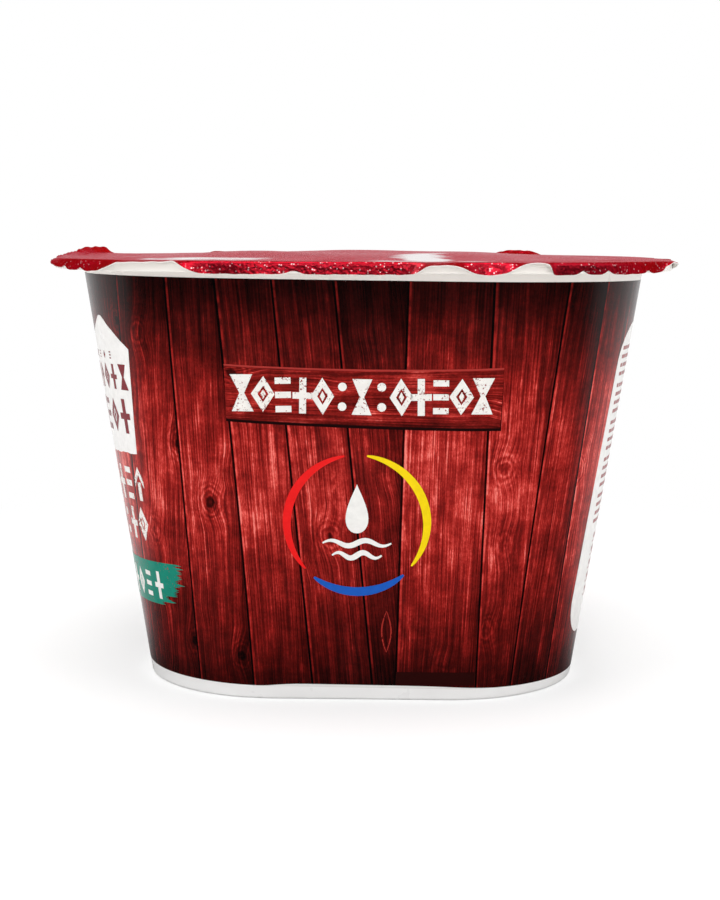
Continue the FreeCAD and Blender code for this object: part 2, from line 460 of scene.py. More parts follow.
BOARDS = material("painted boards", build_boards, Specular_IOR_Level=FILM_GLOSS)
PLANK = material("name plank", build_plank, Specular_IOR_Level=FILM_GLOSS)
MOULDING = material("white moulding", build_moulding, Subsurface_Weight=0.0)
FOIL_RED = material("red lacquered foil", build_foil,
                    Metallic=0.96, Coat_Roughness=0.08, Specular_IOR_Level=0.2)
FOIL_BACK = material("foil back", build_foil_back, Roughness=0.55)
WHITE_INK = ink_material("worn white ink", (0.86, 0.83, 0.79), wear=0.55)
PLAIN_WHITE_INK = ink_material("white ink", (0.86, 0.85, 0.82))
RED_INK = ink_material("red ink", (0.82, 0.012, 0.012))
YELLOW_INK = ink_material("yellow ink", (0.90, 0.66, 0.004))
BLUE_INK = ink_material("blue ink", (0.012, 0.10, 0.48))
DARK_RED_INK = ink_material("dark red ink", (0.20, 0.012, 0.020))
GREEN_INK = ink_material("green ink", (0.010, 0.24, 0.17), wear=0.4, under=(0.30, 0.02, 0.02))
FINE_RED_INK = ink_material("fine red ink", (0.34, 0.10, 0.10))
PANEL_INK = ink_material("panel white", (0.89, 0.875, 0.855))


# ---------------------------------------------------------------- mesh helpers
def placed(name, data):
    """New object of some data, in the scene."""
    made = bpy.data.objects.new(name, data)
    bpy.context.scene.collection.objects.link(made)
    return made


def piece_from_arrays(name, points, faces, materials, rims, slots=None):
    """Mesh object from point and face arrays, at the origin, smooth but for its last faces, the rims."""
    mesh = bpy.data.meshes.new(name)
    mesh.from_pydata([tuple(p) for p in points], [], [tuple(int(k) for k in f) for f in faces])
    for one in materials:
        mesh.materials.append(one)
    if slots is not None:
        mesh.polygons.foreach_set("material_index", np.asarray(slots, dtype=np.int32))
    first_rim = len(mesh.polygons) - rims
    mesh.polygons.foreach_set("use_smooth", np.arange(len(mesh.polygons)) < first_rim)
    rim_edges = {key for face in mesh.polygons[first_rim:] for key in face.edge_keys}
    mesh.edges.foreach_set("use_edge_sharp", [edge.key in rim_edges for edge in mesh.edges])
    mesh.update()
    return placed(name, mesh)


def finish_piece(piece, slot, *nodes):
    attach(piece, "root")
    if nodes:
        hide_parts(*nodes)


def grid_faces(columns, rows, start=0, flip=False, closed=False):
    """Quads of a grid stored column by column."""
    faces = []
    last = columns if closed else columns - 1
    for column in range(last):
        near, far = start + column * rows, start + (column + 1) % columns * rows
        for row in range(rows - 1):
            quad = (near + row, far + row, far + row + 1, near + row + 1)
            faces.append(quad[::-1] if flip else quad)
    return faces


# ---------------------------------------------------------------- film with its painted boards
FRONT_JOINTS = (      # on the -Y side: (along at the foot, along at the neck, tone of the board after it)
    (-44.5, -37.4, 0.84), (-29.2, -28.1, 0.85), (-17.5, -20.9, 0.95), (-7.4, -13.3, 0.80), (2.2, -3.9, 0.48),
    (5.9, 7.4, 1.08), (19.9, 19.4, 1.05), (27.4, 30.3, 0.62), (37.0, 37.6, 1.10),
)
SEAM_AT = 2 * WALL_QUARTER / MM - 13.8
FILM_COLUMN = 1.1     # widest column of the film, in millimetres
WHOLE_WAY = 4 * WALL_QUARTER / MM


def board_joints():
    """Joints of all boards round the film, in millimetres, from one end of it to the other."""
    draw = random.Random(11)
    start, end = SEAM_AT - WHOLE_WAY + SEAM_GAP / MM / 2, SEAM_AT - SEAM_GAP / MM / 2

    def run(place, limit, direction):
        found = []
        while True:
            place += direction * draw.uniform(7.0, 12.5)
            if (limit - place) * direction < 5.0:
                return found
            lean = draw.uniform(-1.6, 1.6)
            found.append((place - lean, place + lean, draw.uniform(0.6, 1.2)))

    before = run(FRONT_JOINTS[0][0], start, -1)[::-1]
    after = run(FRONT_JOINTS[-1][0], end, 1)
    return [(start, start, 0.8), *before, *FRONT_JOINTS, *after, (end, end, 0.0)]


def print_margin(along):
    """Height of the print's lower edge over the film's, which bows up in the middle of each side."""
    rest = (along + WALL_QUARTER / MM / 2) % (WALL_QUARTER / MM) - WALL_QUARTER / MM / 2
    rise = 1.0 / (1.0 + np.exp(-(rest + 13.0) / 1.2)) * 1.0 / (1.0 + np.exp((rest - 18.0) / 3.0))
    return 0.45 * rise


def label_film():
    """Film wrapped round the wall, a closed thin shell whose columns follow the joints between boards."""
    joints = np.array(board_joints())
    places, tones, widths = joints[:, :2], joints[:, 2], np.diff(joints[:, :2], axis=0)
    stations = []       # (number of the board, share of its width) at each column
    for number, width in enumerate(widths[:, 0]):
        count = max(3, math.ceil(width / FILM_COLUMN))
        stations += [(number, step / count) for step in range(count)]
    stations.append((len(widths) - 1, 1.0))
    numbers, parts = (np.array(values) for values in zip(*stations))
    foot_places, neck_places = (places[numbers] + widths[numbers] * parts[:, None]).T

    shares = np.concatenate([[0.0, 0.003], np.linspace(0.0, 1.0, 15)[1:-1], [0.997, 1.0]])
    rows, columns = len(shares), len(numbers)
    along = foot_places[:, None] + (neck_places - foot_places)[:, None] * shares
    across_x = on_wall(along * MM, np.full_like(along, HALF_HEIGHT), 0.0)[..., 0]
    low, high = FILM_FOOT - SKEW * across_x, FILM_NECK - SKEW * across_x
    height = low + (high - low) * shares

    size = rows * columns
    lifts = (FILM_PROUD, FILM_PROUD - FILM_THICK)
    points = np.concatenate([on_wall(along * MM, height, lift).reshape(-1, 3) for lift in lifts])
    faces = grid_faces(columns, rows) + grid_faces(columns, rows, size, flip=True)
    skin_faces = len(faces) // 2
    edges = ((range(0, size - rows, rows), rows, False), (range(rows - 1, size - 1, rows), rows, True),
             (range(rows - 1), 1, True), (range(size - rows, size - 1), 1, False))
    for starts, step, flip in edges:
        for near in starts:
            quad = (near, near + size, near + step + size, near + step)
            faces.append(quad[::-1] if flip else quad)
    piece = piece_from_arrays("label_film", points, faces, [BOARDS], len(faces) - 2 * skin_faces)

    mesh = piece.data
    inside = np.minimum((height - low) / MM - print_margin(along), (high - height) / MM + 0.3).reshape(-1)
    mesh.attributes.new("margin", "FLOAT", "POINT").data.foreach_set("value", np.tile(inside, 2))
    corners = np.empty(len(mesh.loops), dtype=np.int32)
    mesh.loops.foreach_get("vertex_index", corners)
    corners = corners[:4 * skin_faces]
    column, row = np.arange(4 * skin_faces) // 4 // (rows - 1), corners % rows
    number = numbers[column]
    width = widths[number, 0] * (1 - shares[row]) + widths[number, 1] * shares[row]
    next_parts = np.where(parts[1:] > 0.0, parts[1:], 1.0)
    part = np.where(corners // rows == column, parts[column], next_parts[column])
    uv, facts = np.zeros((len(mesh.loops), 2)), np.zeros((len(mesh.loops), 3))
    facts[:, 0] = 10.0
    uv[:len(corners)] = np.stack([part * width, height.reshape(-1)[corners] / MM], 1)
    facts[:len(corners)] = np.stack([width, tones[number], number], 1)
    mesh.uv_layers.new(name="boards").data.foreach_set("uv", uv.reshape(-1))
    mesh.attributes.new("board", "FLOAT_VECTOR", "CORNER").data.foreach_set("vector", facts.reshape(-1))
    finish_piece(piece, "label_film", "label")


# ---------------------------------------------------------------- printed shapes on the film
WALL_INPUTS = {"Corner centre": CORNER_CENTRE, "Reference radius": WALL_RADIUS,
               "Half-width at bench": BASE_HALF, "Widening": (SHOULDER_HALF - BASE_HALF) / HEIGHT}


def geometry_tree(name, **inputs):
    """Geometry Nodes tree with inputs name=type and the wall's: it, its wires by name and its outlets."""
    tree = bpy.data.node_groups.new(name, "GeometryNodeTree")
    for label, kind in {"Geometry": "Geometry", "Ink": "Material", **inputs,
                        **dict.fromkeys(WALL_INPUTS, "Float")}.items():
        tree.interface.new_socket(label, in_out="INPUT", socket_type="NodeSocket" + kind)
    tree.interface.new_socket("Geometry", in_out="OUTPUT", socket_type="NodeSocketGeometry")
    wires = {socket.name: Wire(socket) for socket in add(tree, "NodeGroupInput").outputs}
    return tree, wires, add(tree, "NodeGroupOutput").inputs


def make_wrap_tree():
    """Wraps flat shapes on the pot's wall: X is the distance round it, Y the height, Z the lift off it."""
    tree, get, given = geometry_tree("print wrapped on the wall")
    centre, radius, bench, widening = (get[label] for label in WALL_INPUTS)
    along, height, lift = split(out(add(tree, "GeometryNodeInputPosition")))
    side = centre * 2.0
    quarter_length = radius * (math.pi / 2) + side
    shifted = along + centre
    quarter = calc("FLOOR", shifted / quarter_length)
    rest = shifted - quarter * quarter_length
    angle = calc("MAXIMUM", rest - side, 0.0) / radius
    reach = height * widening + bench - centre + lift
    x = calc("SINE", angle) * reach + (calc("MINIMUM", rest, side) - centre)
    y = (calc("COSINE", angle) * reach + centre) * -1.0
    turned = add(tree, "ShaderNodeVectorRotate",
                 {"Vector": vector(x, y, height), "Angle": quarter * (math.pi / 2)}, rotation_type="Z_AXIS")
    moved_there = add(tree, "GeometryNodeSetPosition", {"Geometry": get["Geometry"], "Position": out(turned)})
    real = add(tree, "GeometryNodeRealizeInstances", {0: out(moved_there)})
    inked = add(tree, "GeometryNodeSetMaterial", {"Geometry": out(real), "Material": get["Ink"]})
    feed(given[0], out(inked))
    return tree


UNEVENNESS = 0.03     # of the motifs: their turn either way in radians, and their size as a share


def make_row_tree(wrap):
    """Row of motifs, the same on both sides of its middle, bowed like the film and wrapped on the wall."""
    tree, get, given = geometry_tree(
        "row of motifs", Motifs="Collection", Count="Int", Pitch="Float", Middle="Float", Height="Float",
        Size="Float", Bow="Float", Lift="Float", Seed="Int")
    from_middle = out(add(tree, "GeometryNodeInputIndex")) - (get["Count"] - 1.0) * 0.5
    off = from_middle * get["Pitch"]
    rise = off * (off * get["Bow"] - SKEW)
    line = add(tree, "GeometryNodeMeshLine", {"Count": get["Count"]})
    spots = add(tree, "GeometryNodeSetPosition", {
        "Geometry": out(line), "Position": vector(get["Middle"] + off, get["Height"] + rise, get["Lift"])})
    motifs = add(tree, "GeometryNodeCollectionInfo", {
        "Separate Children": True, "Reset Children": True, "Collection": get["Motifs"]})
    uneven = add(tree, "FunctionNodeRandomValue", {"Seed": get["Seed"]}, data_type="FLOAT")
    least, most = [socket for socket in uneven.inputs if socket.type == "VALUE" and socket.enabled]
    feed(least, -UNEVENNESS)
    feed(most, UNEVENNESS)
    jitter = Wire(next(socket for socket in uneven.outputs if socket.type == "VALUE" and socket.enabled))
    size = get["Size"] * (jitter + 1.0)
    spread = add(tree, "GeometryNodeInstanceOnPoints", {
        "Points": out(spots), "Instance": out(motifs), "Pick Instance": True,
        "Instance Index": calc("ABSOLUTE", calc("TRUNC", from_middle)),
        "Rotation": vector(0.0, 0.0, jitter), "Scale": vector(size, size, INK)})
    real = add(tree, "GeometryNodeRealizeInstances", {0: out(spread)})
    wrapped = add(tree, "GeometryNodeGroup", {
        "Geometry": out(real), **{label: get[label] for label in ("Ink", *WALL_INPUTS)}}, node_tree=wrap)
    feed(given[0], out(wrapped))
    return tree


def flat_shape(name, polygons, low, high, step=1 * MM, flat_uv=None):
    """Closed flat shape from polygons of (x, y) in metres, cut into columns so that it can be wrapped."""
    shape = bmesh.new()
    for outline in polygons:
        shape.faces.new([shape.verts.new((x, y, 0.0)) for x, y in outline])
    for face in shape.faces:
        face.normal_update()
        if face.normal.z < 0:
            face.normal_flip()
    bmesh.ops.triangulate(shape, faces=[f for f in shape.faces if len(f.verts) > 4])
    places = [v.co.x for v in shape.verts]
    for number in range(math.ceil(min(places) / step), math.ceil(max(places) / step)):
        bmesh.ops.bisect_plane(shape, geom=shape.verts[:] + shape.edges[:] + shape.faces[:], dist=1e-7,
                               plane_co=(number * step, 0, 0), plane_no=(1, 0, 0))
    bmesh.ops.remove_doubles(shape, verts=shape.verts[:], dist=2e-6)
    if flat_uv:
        layer = shape.loops.layers.uv.new("flat")
        for face in shape.faces:
            for loop in face.loops:
                loop[layer].uv = flat_uv(loop.vert.co.x / MM, loop.vert.co.y / MM)
    for face in shape.faces:
        face.smooth = True
    raised = bmesh.ops.extrude_face_region(shape, geom=shape.faces[:], use_keep_orig=True)
    tops = {v for v in raised["geom"] if isinstance(v, bmesh.types.BMVert)}
    for vert in shape.verts:
        vert.co.z = high if vert in tops else low
    for face in shape.faces:
        if len({v in tops for v in face.verts}) == 2:
            face.smooth = False
            for edge in face.edges:
                edge.smooth = False
    bmesh.ops.recalc_face_normals(shape, faces=shape.faces[:])
    mesh = bpy.data.meshes.new(name)
    shape.to_mesh(mesh)
    shape.free()
    return mesh


def grown(name, mesh, tree, values):
    """Piece that a Geometry Nodes tree makes from a mesh, turned into a plain mesh."""
    piece = placed(name, mesh)
    modifier = piece.modifiers.new("making", "NODES")
    modifier.node_group = tree
    for item in tree.interface.items_tree:
        if item.in_out == "INPUT" and item.name in values:
            modifier[item.identifier] = values[item.name]
    bpy.context.view_layer.update()
    plain = bpy.data.meshes.new_from_object(piece.evaluated_get(bpy.context.evaluated_depsgraph_get()))
    piece.modifiers.clear()
    piece.data = plain
    plain.name = name
    finish_piece(piece, "label_film")


def printed(name, polygons, ink, layer=1, flat_uv=None):
    """Printed shapes wrapped on the wall. Each polygon is a list of (along, height) in millimetres."""
    base = FILM_PROUD + INK * (layer - 1)
    mesh = flat_shape(name, [[(x * MM, y * MM) for x, y in outline] for outline in polygons],
                      base - 0.5 * INK, base + INK, flat_uv=flat_uv)
    grown(name, mesh, WRAP_TREE, {"Ink": ink, **WALL_INPUTS})


def rectangle(left, low, right, high):
    return [(left, low), (right, low), (right, high), (left, high)]


def moved(outline, along, height, scale=1.0):
    return [(along + x * scale, height + y * scale) for x, y in outline]


def band(places, foot, top):
    """Quads between two lines, each a height that depends on the place."""
    return [[(a, foot(a)), (b, foot(b)), (b, top(b)), (a, top(a))] for a, b in zip(places, places[1:])]


DIAMOND = [(0.0, -1.0), (0.5, 0.0), (0.0, 1.0), (-0.5, 0.0)]


def disc(radius=1.0, steps=20):
    return [(radius * math.cos(2 * math.pi * k / steps), radius * math.sin(2 * math.pi * k / steps))
            for k in range(steps)]


def stroke(points, widths):
    """Quads of a brush stroke along points, with a width at each."""
    left, right = [], []
    for k, (x, y) in enumerate(points):
        before, after = points[max(0, k - 1)], points[min(len(points) - 1, k + 1)]
        dx, dy = after[0] - before[0], after[1] - before[1]
        share = widths[k] / 2 / math.hypot(dx, dy)
        left.append((x - dy * share, y + dx * share))
        right.append((x + dy * share, y - dx * share))
    return [list(quad) for quad in zip(left, right, right[1:], left[1:])]


def arc_stroke(centre, radius, start, end, wide, thin, growth=0.0, steps=28):
    """Brush stroke along an arc, wide in its middle and thin at its ends. Angles in degrees."""
    points, widths = [], []
    for share in np.linspace(0.0, 1.0, steps + 1).tolist():
        angle = math.radians(start + (end - start) * share)
        reach = radius * (1 + growth * share)
        points.append((centre[0] + reach * math.cos(angle), centre[1] + reach * math.sin(angle)))
        widths.append(thin + (wide - thin) * abs(math.sin(math.pi * share)) ** 0.7)
    return stroke(points, widths)


BRUSH_SAG = 0.0007    # how much the plank's foot and the brush stroke bow, per millimetre


def bow(along, centre, sag=0.0011):
    """Rise of a printed line, which follows the film's slope and bows up towards both ends of a side."""
    return sag * (along - centre) ** 2 - SKEW * (along - centre)


def lozenge():
    corners = [(0.0, 1.0), (0.62, 0.0), (0.0, -1.0), (-0.62, 0.0)]
    ring = [[a, b, (b[0] * 0.46, b[1] * 0.46), (a[0] * 0.46, a[1] * 0.46)]
            for a, b in zip(corners, corners[1:] + corners[:1])]
    return ring + [moved(DIAMOND, 0.0, 0.0, 0.28)]


MOTIFS = {       # folk motifs, one unit high above and below their middles
    "lozenge": lozenge(),
    "hourglass": [[(-0.55, 1.0), (-0.12, 0.0), (0.12, 0.0), (0.55, 1.0)],
                  [(-0.12, 0.0), (-0.55, -1.0), (0.55, -1.0), (0.12, 0.0)]],
    "cross": [rectangle(-0.19, -1.0, 0.19, 1.0), rectangle(-0.56, -0.18, -0.19, 0.18),
              rectangle(0.19, -0.18, 0.56, 0.18)],
    "bars": [rectangle(-0.42, rise - 0.17, 0.42, rise + 0.17) for rise in (-0.76, 0.0, 0.76)],
    "dots": [moved(disc(0.24, 14), 0.0, rise) for rise in (-0.55, 0.55)],
    "arrow": [[(-0.5, -0.2), (0.0, 0.55), (0.0, 1.0), (-0.5, 0.25)],
              [(0.0, 0.55), (0.5, -0.2), (0.5, 0.25), (0.0, 1.0)], rectangle(-0.17, -1.0, 0.17, 0.1)],
}


def motif_row(name, middle, height, tall, order, pitch, count, ink, layer=2, bow_up=1.1, seed=1):
    """Row of folk motifs on the wall, in millimetres: order runs from its middle to its ends."""
    shelf = bpy.data.collections.new(name + " motifs")
    bpy.context.scene.collection.children.link(shelf)
    kinds = order.split()
    for number in range((count + 1) // 2):
        kind = kinds[number % len(kinds)]
        mesh = flat_shape(kind, MOTIFS[kind], -0.5, 1.0, step=0.3)
        shelf.objects.link(bpy.data.objects.new("%02d %s" % (number, kind), mesh))
    grown(name, bpy.data.meshes.new(name), ROW_TREE, {
        "Motifs": shelf, "Count": count, "Pitch": pitch * MM, "Middle": middle * MM, "Height": height * MM,
        "Size": tall / 2 * MM, "Bow": bow_up, "Lift": FILM_PROUD + INK * (layer - 1), "Seed": seed,
        "Ink": ink, **WALL_INPUTS})
    for blank in list(shelf.objects):
        bpy.data.objects.remove(blank)
    bpy.data.collections.remove(shelf)


def name_plank(centre, tag):
    """Plank across the boards with a row of white folk motifs, and the shadow that it throws."""
    half, low, high = 20.75, 45.05, 54.05

    def top(along):
        return high + bow(along, centre)

    def foot(along):
        return low + bow(along, centre, BRUSH_SAG) - 0.022 * (along - centre)

    def on_plank(along, height):
        return (along - centre + half, (height - foot(along)) / (top(along) - foot(along)) * (high - low))

    places = [centre - half + 2 * half * k / 28 for k in range(29)]
    right = places[-1]
    shadow = band([centre - half - 0.1, *places[1:], centre + half + 0.15],
                  lambda along: foot(along) - 0.24, lambda along: foot(along) + 0.3)
    shadow.append([(right - 0.2, foot(right)), (right + 0.15, foot(right)),
                   (right + 0.05, top(right) - 2.0), (right - 0.2, top(right) - 2.0)])
    printed("plank_shadow" + tag, shadow, SHADOW_INK)
    printed("name_plank" + tag, band(places, foot, top), PLANK, layer=2, flat_uv=on_plank)
    motif_row("plank_motifs" + tag, centre - 0.2, (low + high) / 2 + 0.2, 5.7,
              "hourglass dots lozenge cross bars lozenge hourglass", 3.02, 13, WHITE_INK, 3, seed=4)


def dairy_roundel(centre, middle, tag):
    """Open roundel of three brush strokes round a white drop over two ripples."""
    place = (centre, middle)
    for colour, ink, quads in (
            ("red", RED_INK, arc_stroke(place, 11.2, 100, 222, 1.35, 0.25, -0.03)),
            ("yellow", YELLOW_INK, arc_stroke(place, 11.2, 82, -38, 1.35, 0.25, -0.03)),
            ("blue", BLUE_INK, arc_stroke(place, 11.0, 232, 312, 1.45, 0.3))):
        printed("roundel_" + colour + tag, quads, ink, layer=2)
    drop = []
    for k in range(33):
        angle = 2 * math.pi * k / 32
        wide = 2.5 * math.sin(angle) * math.sin(angle / 2) ** 1.4
        drop.append((centre + wide, middle + 2.6 + 4.0 * math.cos(angle)))
    marks = [[drop[k], drop[32 - k], drop[31 - k], drop[k + 1]] for k in range(1, 16)]
    for reach, rise in ((5.4, -3.0), (3.9, -5.0)):
        line = [(centre - reach + 2 * reach * k / 24, middle + rise + 0.45 * math.sin(2 * math.pi * k / 12))
                for k in range(25)]
        marks += stroke(line, [0.25 + 0.65 * math.sin(math.pi * k / 24) for k in range(25)])
    printed("roundel_drop" + tag, marks, PLAIN_WHITE_INK, layer=2)


def display_side(centre):
    """Main display side: a white panel with three gables, a bowl, rows of motifs and a green brush stroke."""
    draw = random.Random(5)
    low, half_low, half_high = 38.4, 32.7, 34.6
    gable_places, gable_heights = (0.0, 16.6, 26.6, half_high), (65.0, 55.6, 61.6, 56.2)
    tops, feet = [], []
    for share in [k / 32 - 1 for k in range(65)]:
        height = np.interp(abs(half_high * share), gable_places, gable_heights)
        tops.append((centre + half_high * share, height + draw.uniform(-0.06, 0.06)))
    for share in [k / 32 - 1 for k in range(65)]:
        feet.append((centre + half_low * share, low + 0.6 * share * share + draw.uniform(-0.15, 0.15)))
    printed("display_panel", [list(quad) for quad in zip(feet, feet[1:], tops[1:], tops)], PANEL_INK)

    rim = [(-4.2, 59.6), *((4.2 * math.cos(math.radians(t)), 59.2 + 3.4 * math.sin(math.radians(t)))
                           for t in range(185, 356, 10)), (4.2, 59.6)]
    wisp = [(-0.35, 60.6), (0.35, 60.6), (0.15, 62.4), (-0.15, 62.4)]
    steam = [moved(wisp, along, 0.0) for along in (-1.8, 0.0, 1.8)]
    printed("display_bowl", [moved(outline, centre, 0.0) for outline in (rim, *steam)], DARK_RED_INK, 2)
    for name, height, tall, order, pitch, count, *rest in (
            ("small_row", 54.6, 1.3, "lozenge bars", 2.6, 23, DARK_RED_INK, 2, 0.7, 8),
            ("motifs_upper", 51.1, 4.1, "lozenge cross hourglass arrow", 3.2, 21, DARK_RED_INK, 2, 0.7, 2),
            ("motifs_lower", 44.7, 5.6, "hourglass bars lozenge cross", 4.1, 16, DARK_RED_INK, 2, 0.7, 3),
            ("row_upper", 33.2, 5.7, "arrow lozenge cross bars", 4.0, 17, WHITE_INK, 1, 1.1, 5),
            ("row_lower", 26.5, 5.5, "lozenge hourglass dots cross", 3.9, 17, WHITE_INK, 1, 1.1, 6)):
        motif_row("display_" + name, centre, height, tall, order, pitch, count, *rest)

    low, high, hairs = 13.5, 20.7, 26
    stripes = []
    for k in range(hairs):
        a, b = low + (high - low) * k / hairs, low + (high - low) * (k + 1) / hairs + 0.04
        fade = abs(k / (hairs - 1) - 0.5) * 3.4
        left = centre - half_high - 4.6 + fade + draw.uniform(-1.8, 1.4)
        right = centre + half_high + 3.7 - fade + 0.14 * (k - hairs / 2) + draw.uniform(-2.2, 1.6)
        for end, tip, first, last in ((left, left - 1.3, a, b), (right, right + 1.3, b, a)):
            rise = bow(end, centre, BRUSH_SAG)
            stripes.append([(tip, (a + b) / 2 + rise), (end, first + rise), (end, last + rise)])
        stripes += band([left + (right - left) * t / 30 for t in range(31)],
                        lambda along: a + bow(along, centre, BRUSH_SAG),
                        lambda along: b + bow(along, centre, BRUSH_SAG))
    printed("display_brush", stripes, GREEN_INK)
    motif_row("brush_motifs", centre, 16.8, 4.6, "cross lozenge bars", 3.75, 19, PLAIN_WHITE_INK, 2, 0.7, 7)


def board_marks():
    """Marks on two boards of the -Y side: the foot of a short board and a split knot."""
    printed("board_foot", [[(6.0, 2.6), (12.9, 2.6), (12.9, 4.85), (6.1, 4.85)],
                           [(12.9, 2.6), (19.7, 2.6), (19.7, 4.85), (12.9, 4.85)]], FOOT_INK)
    swell = [math.sin(math.pi * k / 14) for k in range(15)]
    knot = []
    for side in (-0.75, 0.75):
        knot += stroke([(4.5 + side * wide, 8.2 + 0.5 * k) for k, wide in enumerate(swell)],
                       [0.10 + 0.14 * wide for wide in swell])
    printed("board_knot", knot, KNOT_INK)


def rounded_panel(left, low, right, high, radius, steps=10):
    """Convex outline of a panel with rounded corners."""
    outline = []
    for x, y, start in ((right - radius, low + radius, -90), (right - radius, high - radius, 0),
                        (left + radius, high - radius, 90), (left + radius, low + radius, 180)):
        for k in range(steps + 1):
            angle = math.radians(start + 90 * k / steps)
            outline.append((x + radius * math.cos(angle), y + radius * math.sin(angle)))
    return outline


def information_side(centre):
    """Information side: a white rounded panel with greeked lines, a ruled table and plain stripes."""
    draw = random.Random(8)
    left, right = centre - 26.0, centre + 26.0
    panel = [(along - 0.055 * (height - 57.0) * (1 if along > centre else -1), height)
             for along, height in rounded_panel(left, 8.2, right, 60.4, 6.5)]
    printed("information_panel", [panel], PANEL_INK)
    marks = []
    for line in range(20):
        height = 56.0 - line * 1.42 - 0.5 * (line // 4)
        along, end = left + 1.5 + 0.02 * line, right - 4.0 - draw.uniform(0, 5)
        while along < end:
            size = draw.uniform(0.6, 3.0)
            marks.append(rectangle(along, height, min(along + size, end), height + 0.62))
            along += size + 0.42
    for line in range(5):
        height = 23.5 - line * 2.3
        marks += [rectangle(left + 4.2, height, centre + 1.0, height + 0.15),
                  rectangle(left + 4.8, height + 0.6, left + draw.uniform(9, 14), height + 1.4),
                  rectangle(centre - 5.0, height + 0.6, centre - draw.uniform(0.5, 1.5), height + 1.4)]
    along = centre + 5.5
    while along < centre + 19.5:
        size = draw.choice((0.25, 0.25, 0.5, 0.75))
        marks.append(rectangle(along, 12.5, along + size, 23.5))
        along += size + draw.choice((0.3, 0.3, 0.55))
    printed("information_marks", marks, FINE_RED_INK, layer=2)


WRAP_TREE = make_wrap_tree()
ROW_TREE = make_row_tree(WRAP_TREE)
SHADOW_INK = ink_material("plank shadow", (0.012, 0.002, 0.002))
FOOT_INK = ink_material("board foot", (0.022, 0.0022, 0.0018))
KNOT_INK = ink_material("split knot", (0.34, 0.022, 0.016), wear=0.7, under=(0.09, 0.004, 0.003))
label_film()
board_marks()
name_plank(0.75, "")
dairy_roundel(-0.2, 29.4, "")
display_side(-WALL_QUARTER / MM)
information_side(WALL_QUARTER / MM)
name_plank(SEAM_AT + 23.0, "_rear")
dairy_roundel(SEAM_AT + 22.6, 29.4, "_rear")


# ---------------------------------------------------------------- foil lid
# Lobes of the flap that sprang open, in millimetres from the middle of each side round the lid:
# (from, to, easing before, easing after, droop where it starts, droop where it ends). Droops are in degrees.
SPRUNG_LOBES = (
    ((-34.6, -27.6, 6.6, 3.2, 4.0, 4.0), (11.2, 14.2, 2.9, 2.9, 16.0, 16.0),
     (25.2, 27.6, 3.4, 1.2, 4.0, 4.0)),
    ((-30.0, -22.0, 2.4, 3.5, 6.0, 25.0), (-4.0, 2.0, 2.1, 2.1, 3.0, 8.0),
     (10.3, 15.7, 1.9, 1.9, 14.0, 6.0), (25.0, 33.0, 2.7, 2.7, 30.0, 20.0)),
    ((-31.5, -27.5, 6.5, 4.0, -27.0, -25.0), (-17.0, -9.0, 3.0, 3.0, 6.0, 6.0),
     (-5.6, -0.4, 4.0, 4.0, 55.0, 55.0), (10.2, 13.8, 1.3, 1.3, 40.0, 40.0),
     (22.2, 31.8, 3.4, 3.4, -6.0, -10.0)),
    ((-26.5, 26.0, 3.0, 8.0, -44.0, 26.0),),
)
LID_SIDE = LID_QUARTER / MM
# Dips at places round the lid, all in millimetres: (place, depth, width).
NOTCHES = ((-9.6, 0.5, 1.2), (58.0, 0.3, 0.9), (125.0, 0.35, 1.1), (205.0, 0.4, 1.3),
           (65.0, 0.7, 7.0), (280.0, 0.95, 8.0))
TUCKS = ((278.0, 0.8, 9.0),)      # where the edge is drawn back towards the lip
CRUMPLES = ((3 * LID_SIDE - 18.0, 1.0, 10.0), (2 * LID_SIDE - 28.6, 0.4, 6.0))      # shares of their height
LID_COLUMNS = 900
GATHER_CUSPS = (20.4, 25.4, 35.5, 41.0, 45.5)      # gathers on each corner, from the middle of a side


def apart_round(station, other):
    """Distance round the lid from one place to another, positive after it."""
    return (station - other + 2 * LID_SIDE) % (4 * LID_SIDE) - 2 * LID_SIDE


def dips(station, table):
    """Sum of smooth dips (place, depth, width) at distances round the lid."""
    return sum(depth * np.exp(-(apart_round(station, place) / width) ** 2) for place, depth, width in table)


def fold_angles(station):
    """Angle below level to which the flap is pressed, at distances round the lid in millimetres."""
    angle = np.full_like(station, 90.0)
    for side, lobes in enumerate(SPRUNG_LOBES):
        for start, end, before, after, droop_first, droop_last in lobes:
            place = apart_round(station, side * LID_SIDE + (start + end) / 2)
            half = (end - start) / 2
            closing = np.maximum(0, np.abs(place) - half) / np.where(place < 0, before, after)
            droop = np.interp(place, (-half, half), (droop_first, droop_last))
            angle -= (90.0 - droop) * np.exp(-closing ** 2)
    angle += 5.0 * np.sin(station / 2.9) * np.sin(station / 7.1 + 1.0)
    return np.radians(np.clip(angle, -46.0, 90.0))


def flap_reach(station):
    """Length of the flap beyond its fold, notched at each gather and slightly ragged."""
    reach = np.full_like(station, FLAP_LENGTH)
    for side in range(4):
        for cusp in GATHER_CUSPS:
            apart = np.abs(apart_round(station, side * LID_SIDE + cusp + 14.1))
            reach -= 0.62 * MM * np.exp(-(apart / 0.75) ** 1.2)
    ragged = 0.05 * MM * np.sin(station * 1.7) * np.sin(station * 0.63 + 2.0)
    return reach - dips(station, NOTCHES) * MM + ragged


